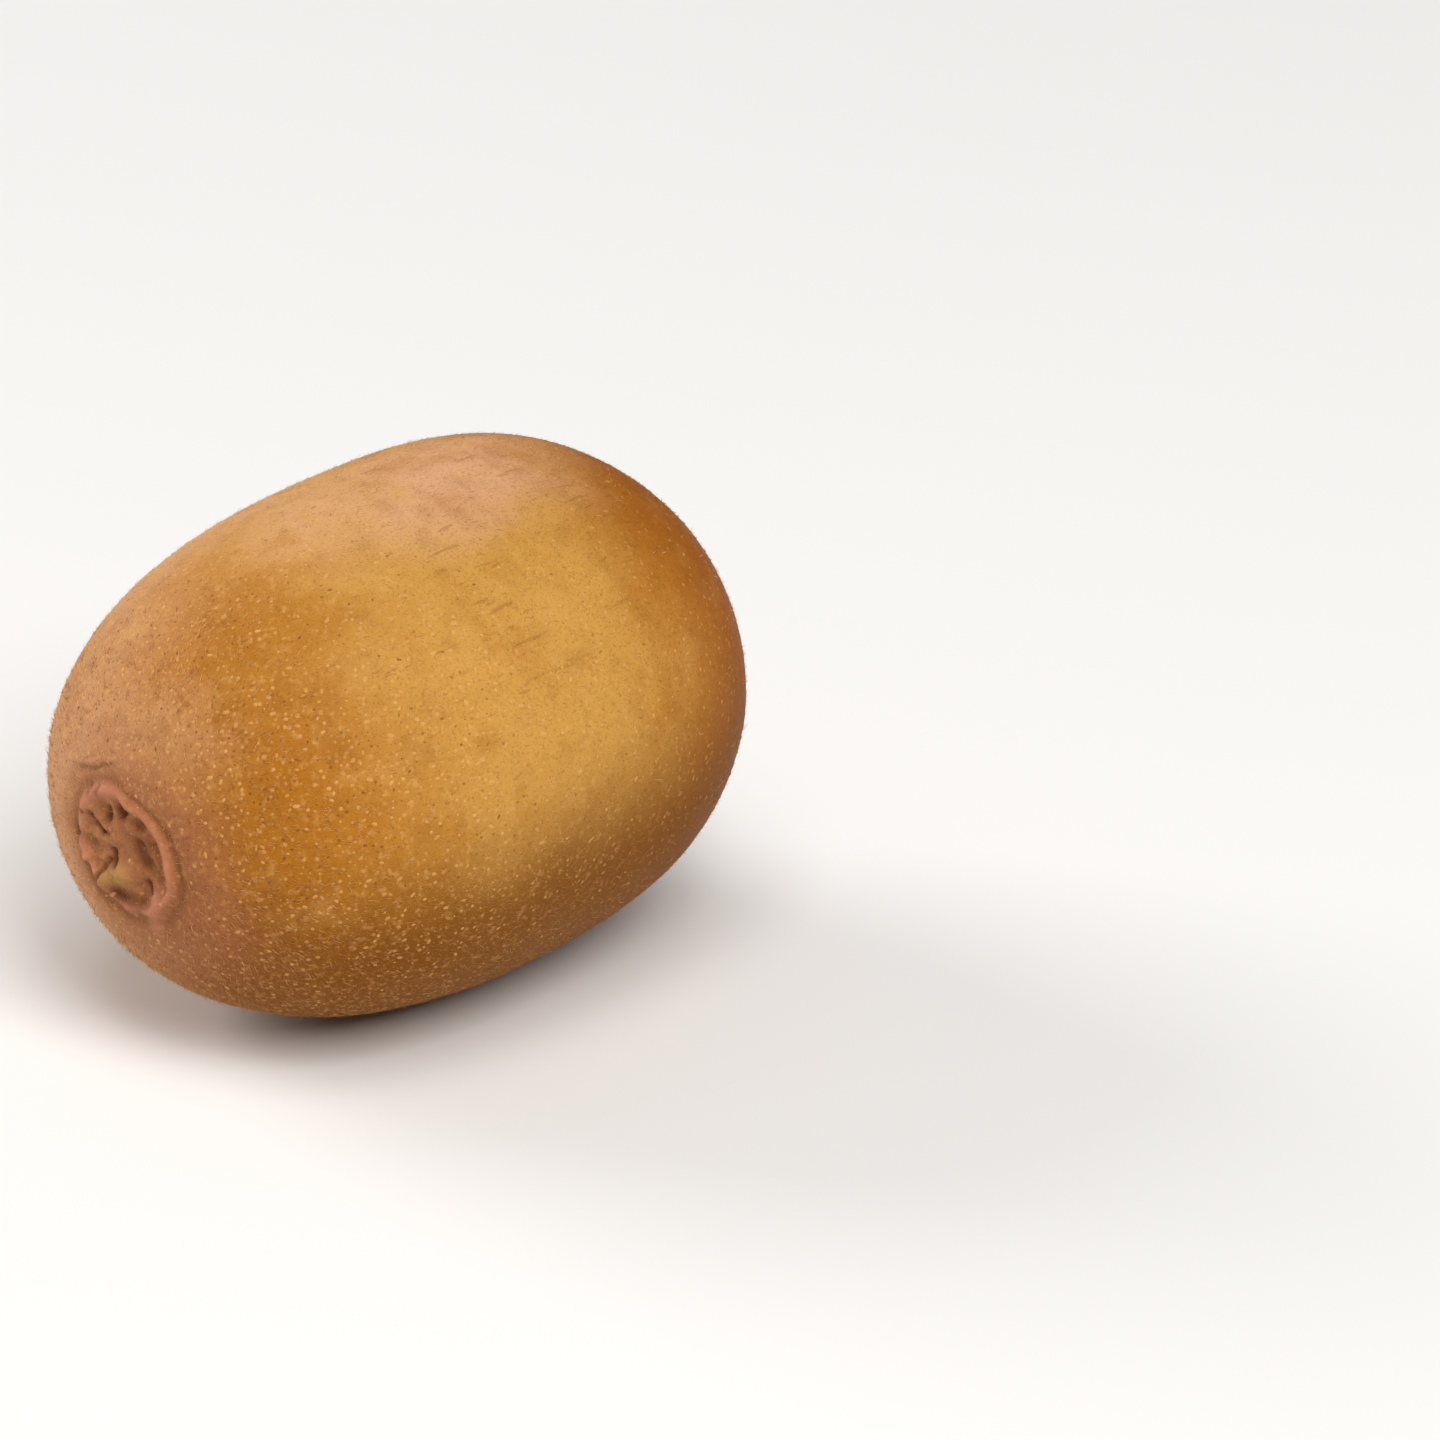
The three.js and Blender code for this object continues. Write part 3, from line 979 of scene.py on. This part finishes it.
class KIWI_OT_fuzz(bpy.types.Operator):
    """Cover the skin with fine short hairs, in one piece for each half."""

    bl_idname = "kiwi.fuzz"
    bl_label = "Fuzz"

    def execute(self, context):
        cover, colours = context.scene.kiwi_cover, context.scene.kiwi_colours
        surface = skin_surface()
        pale = hair_material("pale_fuzz", colours.fuzz, colours.speck)
        golden = hair_material("golden_fuzz", colours.down, colours.amber)
        for name, sign, how_many, seed, material in (
            ("fuzz_blossom_half", -1.0, cover.blossom_hairs, BLOSSOM_FUZZ_SEED, pale),
            ("fuzz_stalk_half", 1.0, cover.stalk_hairs, STALK_FUZZ_SEED, golden),
        ):
            random = np.random.default_rng(seed)
            place(self.hairs(name, cover, surface, sign, how_many, random), material)
        return {"FINISHED"}

    def hairs(self, name, cover, surface, sign, how_many, random):
        """The hairs of the half towards +X or -X, as the sign says."""
        masks = surface.masks
        density = 1.0 - 0.75 * np.clip(masks["bowl"] + masks["scar"], 0.0, 1.0)
        inside = np.clip(sign * surface.corners[:, 0] / FUZZ_OVERLAP, -1.0, 1.0)
        density = density * (0.5 + 0.5 * inside)
        spots = scattered(surface, how_many, density, random)
        spots = picked(spots, spots.places[:, 2] > 2.0 * cover.hair_length)
        many = len(spots.places)
        lengths = cover.hair_length * uneven(random, many, 0.3)
        widths = np.full(many, cover.hair_width)
        lean = np.radians(random.uniform(8.0, 34.0, many))
        heading = turned(spots, random.normal(0.0, 0.6, many))
        return spikes(name, spots, heading, lengths, widths, lean, np.zeros(many), 1)


class KIWI_OT_bristles(bpy.types.Operator):
    """Set the stiffer bristles round the button and the stalk end."""

    bl_idname = "kiwi.bristles"
    bl_label = "Bristles"

    def execute(self, context):
        scene = context.scene
        cover, colours = scene.kiwi_cover, scene.kiwi_colours
        random = np.random.default_rng(BRISTLE_SEED)
        surface = skin_surface()
        masks = surface.masks
        blossom = bump(np.clip(-masks["along"], 0.0, 1.0) - 0.86, 0.12) * (1.0 - masks["ring"])
        stalk = bump(np.clip(masks["along"], 0.0, 1.0) - 0.92, 0.10)
        density = (0.03 + blossom + 0.8 * stalk) * (1.0 - 0.9 * masks["bowl"])
        spots = scattered(surface, cover.bristles, density, random)
        spots = picked(spots, spots.places[:, 2] > 1.5 * cover.bristle_length)
        many = len(spots.places)
        lengths = cover.bristle_length * uneven(random, many, 0.3)
        widths = cover.bristle_width * random.uniform(0.7, 1.2, many)
        lean = np.radians(random.uniform(10.0, 32.0, many))
        curl = random.uniform(0.0, 0.15, many)
        heading = turned(spots, random.normal(0.0, 0.4, many))
        mesh = spikes("end_bristles", spots, heading, lengths, widths, lean, curl, 3)
        place(mesh, hair_material("bristles", colours.fuzz, colours.rose))
        return {"FINISHED"}


# ---- stalk end


def slab(name, upper, lower, round_about=False):
    """A closed thin mesh between two grids of corners, both of rows by columns. In a round one the
    columns go all the way round and the first row is a small hole that is capped."""
    rows, columns = upper.shape[:2]
    corners = np.concatenate((upper.reshape(-1, 3), lower.reshape(-1, 3)))
    under = rows * columns
    faces = []
    for row in range(rows - 1):
        for column in range(columns if round_about else columns - 1):
            a = row * columns + column
            b = row * columns + (column + 1) % columns
            c, d = b + columns, a + columns
            faces += [(a, d, c, b), (under + a, under + b, under + c, under + d)]
    first = list(range(columns))
    back = [(rows - 1) * columns + column for column in reversed(first)]
    if round_about:
        border = back
        faces += [first, tuple(under + corner for corner in reversed(first))]
    else:
        down = [row * columns + columns - 1 for row in range(1, rows - 1)]
        up = [row * columns for row in range(rows - 2, 0, -1)]
        border = first + down + back + up
    for a, b in zip(border, border[1:] + border[:1]):
        faces.append((a, b, under + b, under + a))
    return mesh_of(name, corners, faces)


class StalkEnd:
    """The skin's stalk end, to lay small pieces on it."""

    def __init__(self):
        surface = skin_surface()
        self.pole = surface.corners[-1]
        self.tree = BVHTree.FromPolygons(surface.corners.tolist(), surface.triangles.tolist())

    def on_skin(self, radius, turn, lift):
        """A point at a radius and angle round the pole, lifted off the skin along the axis."""
        y = self.pole[1] + radius * math.cos(turn)
        z = self.pole[2] + radius * math.sin(turn)
        hit = self.tree.ray_cast(Vector((2.0 * self.pole[0], y, z)), Vector((-1.0, 0.0, 0.0)))[0]
        return (hit.x + lift, y, z)


class KIWI_OT_scar(bpy.types.Operator):
    """Set the fibrous plug in the middle of the stalk scar."""

    bl_idname = "kiwi.scar"
    bl_label = "Stalk scar"

    def execute(self, context):
        end = StalkEnd()
        ends = context.scene.kiwi_ends
        upper = np.empty((SCAR_CIRCLES, SCAR_SIDES, 3))
        lower = np.empty_like(upper)
        for row, share in enumerate(np.linspace(0.0, 1.0, SCAR_CIRCLES)):
            radius = ends.scar_radius * max(share, 0.02)
            for column in range(SCAR_SIDES):
                turn = 2.0 * math.pi * column / SCAR_SIDES
                rise = ends.scar_height * self.relief(radius, turn, share)
                upper[row, column] = end.on_skin(radius, turn, rise)
                lower[row, column] = end.on_skin(radius, turn, -2.0 * ends.scar_height)
        mesh = slab("stalk_scar", upper, lower, round_about=True)
        place(mesh, dry_material("scar_wood", context.scene.kiwi_colours, 0.5))
        return {"FINISHED"}

    def relief(self, radius, turn, share):
        """The plug's height at a share of its radius, as a share of its full height."""
        spot = Vector((radius * math.cos(turn), radius * math.sin(turn), 0.0))
        fibres = 0.35 * noise.noise(spot / (0.35 * MM))
        fibres += 0.25 * math.cos(SCAR_FOLDS * turn + 4.0 * share)
        dome = 1.0 - share**4 * 1.6 - 0.55 * bump(share, 0.22)
        return dome + fibres * share


class KIWI_OT_sepals(bpy.types.Operator):
    """Lay the dry, curled stubs of the sepals round the stalk scar."""

    bl_idname = "kiwi.sepals"
    bl_label = "Sepal stubs"

    def execute(self, context):
        random = np.random.default_rng(SEPAL_SEED)
        end = StalkEnd()
        whole = bmesh.new()
        for index in range(SEPAL_COUNT):
            turn = SEPAL_CREST + 2.0 * math.pi * index / SEPAL_COUNT + random.normal(0.0, 0.08)
            whole.from_mesh(self.stub(end, context.scene.kiwi_ends, turn, random))
        mesh = bpy.data.meshes.new("sepal_stubs")
        whole.to_mesh(mesh)
        whole.free()
        place(mesh, dry_material("dry_sepals", context.scene.kiwi_colours, 1.0))
        return {"FINISHED"}

    def stub(self, end, ends, turn, random):
        """One stub: a flap, sunk in the skin at its root, that curls up towards its ragged tip."""
        reach = ends.sepal_length * random.uniform(0.65, 1.1)
        width = ends.sepal_width * random.uniform(0.85, 1.1)
        curl = ends.sepal_curl * random.uniform(0.6, 1.3)
        skew = random.normal(0.0, 0.25)
        upper = np.empty((STUB_ROWS, STUB_COLUMNS, 3))
        lower = np.empty_like(upper)
        for row, share in enumerate(np.linspace(0.0, 1.0, STUB_ROWS)):
            half = width / 2.0 * (1.0 - 0.75 * share**2.5)
            for column, side in enumerate(np.linspace(-1.0, 1.0, STUB_COLUMNS)):
                ragged = 1.0 + 0.16 * noise.noise(Vector((3.0 * side, 9.0 * turn, 0.0))) * share
                radius = ends.scar_radius * 1.25 + reach * share * ragged
                aside = side * half + skew * share * width
                rise = curl * (share**1.6 + 0.3 * share * side**2)
                rise -= 0.25 * MM * (1.0 - share) ** 2
                rise += 0.10 * MM * noise.noise(Vector((share * 4.0, side * 3.0, turn * 5.0)))
                angle = turn + aside / radius
                upper[row, column] = end.on_skin(radius, angle, rise + ends.sepal_thickness)
                lower[row, column] = end.on_skin(radius, angle, rise)
        return slab("stub", upper, lower)


# ---- studio


def direction(azimuth, elevation):
    """From the fruit towards a place round it. Azimuth 0 is on the -Y side, 90 degrees on +X."""
    level = math.cos(elevation)
    return Vector((math.sin(azimuth) * level, -math.cos(azimuth) * level, math.sin(elevation)))


def looking(towards):
    """The rotation of a camera or a light that looks along a direction."""
    return towards.to_track_quat("-Z", "Y").to_euler()


# A square light that faces the fruit from an azimuth and an elevation, both in degrees
Softbox = namedtuple("Softbox", "name azimuth elevation distance size power colour")


def add_softbox(box, middle):
    lamp = bpy.data.lights.new(box.name, "AREA")
    lamp.shape = "SQUARE"
    lamp.size = box.size
    lamp.energy = box.power
    lamp.color = box.colour
    light = bpy.data.objects.new(box.name, lamp)
    towards = direction(math.radians(box.azimuth), math.radians(box.elevation))
    light.location = middle + towards * box.distance
    light.rotation_euler = looking(-towards)
    bpy.context.scene.collection.objects.link(light)


class KIWI_OT_studio(bpy.types.Operator):
    """Set up the camera, the pale floor, the softboxes and the even light all round."""

    bl_idname = "kiwi.studio"
    bl_label = "Studio"

    def execute(self, context):
        studio = context.scene.kiwi_studio
        low, high = SOLID_BOX
        middle = (low + high) / 2.0
        self.add_camera(context.scene, studio, middle)
        self.add_floor(context.scene)
        for box in (
            Softbox("key", -20.0, 45.0, 1.8, 1.0, studio.key_power, (1.0, 0.98, 0.95)),
            Softbox("fill", -170.0, 22.0, 1.8, 1.0, studio.fill_power, (1.0, 0.98, 0.96)),
            Softbox("top", -50.0, 70.0, 1.8, 1.0, studio.top_power, (1.0, 0.98, 0.96)),
        ):
            add_softbox(box, middle)
        self.add_sky(context.scene, studio)
        context.scene.view_settings.view_transform = "Standard"
        return {"FINISHED"}

    def add_camera(self, scene, studio, middle):
        towards = direction(studio.azimuth, studio.elevation)
        right = Vector((math.cos(studio.azimuth), math.sin(studio.azimuth), 0.0))
        up = towards.cross(right)
        lens = bpy.data.cameras.new("studio_camera")
        lens.sensor_width = SENSOR_WIDTH
        lens.lens = studio.lens
        camera = bpy.data.objects.new("studio_camera", lens)
        aim = middle + right * studio.aim_right + up * studio.aim_up
        camera.location = aim + towards * studio.distance
        camera.rotation_euler = looking(-towards)
        scene.collection.objects.link(camera)
        scene.camera = camera

    def add_floor(self, scene):
        signs = ((-1, -1), (1, -1), (1, 1), (-1, 1))
        corners = [(x * FLOOR_HALF, y * FLOOR_HALF, 0.0) for x, y in signs]
        mesh = mesh_of("studio_floor", corners, [(0, 1, 2, 3)])
        mesh.materials.append(floor_material())
        floor = bpy.data.objects.new("studio_floor", mesh)
        scene.collection.objects.link(floor)

    def add_sky(self, scene, studio):
        scene.world = bpy.data.worlds.new("studio_sky")
        scene.world.use_nodes = True
        background = scene.world.node_tree.nodes["Background"]
        background.inputs["Color"].default_value = (1.0, 1.0, 1.0, 1.0)
        background.inputs["Strength"].default_value = studio.sky


# ---- add-on


class KIWI_PT_panel(bpy.types.Panel):
    """The fruit's pieces, and the sizes and colours that a user may change."""

    bl_idname = "KIWI_PT_panel"
    bl_label = "Golden kiwi fruit"
    bl_space_type = "VIEW_3D"
    bl_region_type = "UI"
    bl_category = "Kiwi"

    def draw(self, context):
        for step in STEPS:
            self.layout.operator(step.bl_idname)
        for name, group in GROUPS.items():
            box = self.layout.box()
            box.label(text=group.__doc__)
            for prop in group.__annotations__:
                box.prop(getattr(context.scene, name), prop)


GROUPS = {
    "kiwi_shape": KiwiShape,
    "kiwi_colours": KiwiColours,
    "kiwi_cover": KiwiCover,
    "kiwi_ends": KiwiEnds,
    "kiwi_studio": KiwiStudio,
}
STEPS = (
    KIWI_OT_studio,
    KIWI_OT_skin,
    KIWI_OT_specks,
    KIWI_OT_fuzz,
    KIWI_OT_bristles,
    KIWI_OT_scar,
    KIWI_OT_sepals,
)
CLASSES = (*GROUPS.values(), *STEPS, KIWI_PT_panel)


def register():
    for kind in CLASSES:
        bpy.utils.register_class(kind)
    for name, group in GROUPS.items():
        setattr(bpy.types.Scene, name, PointerProperty(type=group))


def unregister():
    for name in GROUPS:
        delattr(bpy.types.Scene, name)
    for kind in reversed(CLASSES):
        bpy.utils.unregister_class(kind)


def main():
    register()
    bpy.ops.kiwi.studio()
    bpy.ops.kiwi.skin()
    bpy.ops.kiwi.specks()
    bpy.ops.kiwi.fuzz()
    bpy.ops.kiwi.bristles()
    bpy.ops.kiwi.scar()
    bpy.ops.kiwi.sepals()


if __name__ == "__main__":
    main()
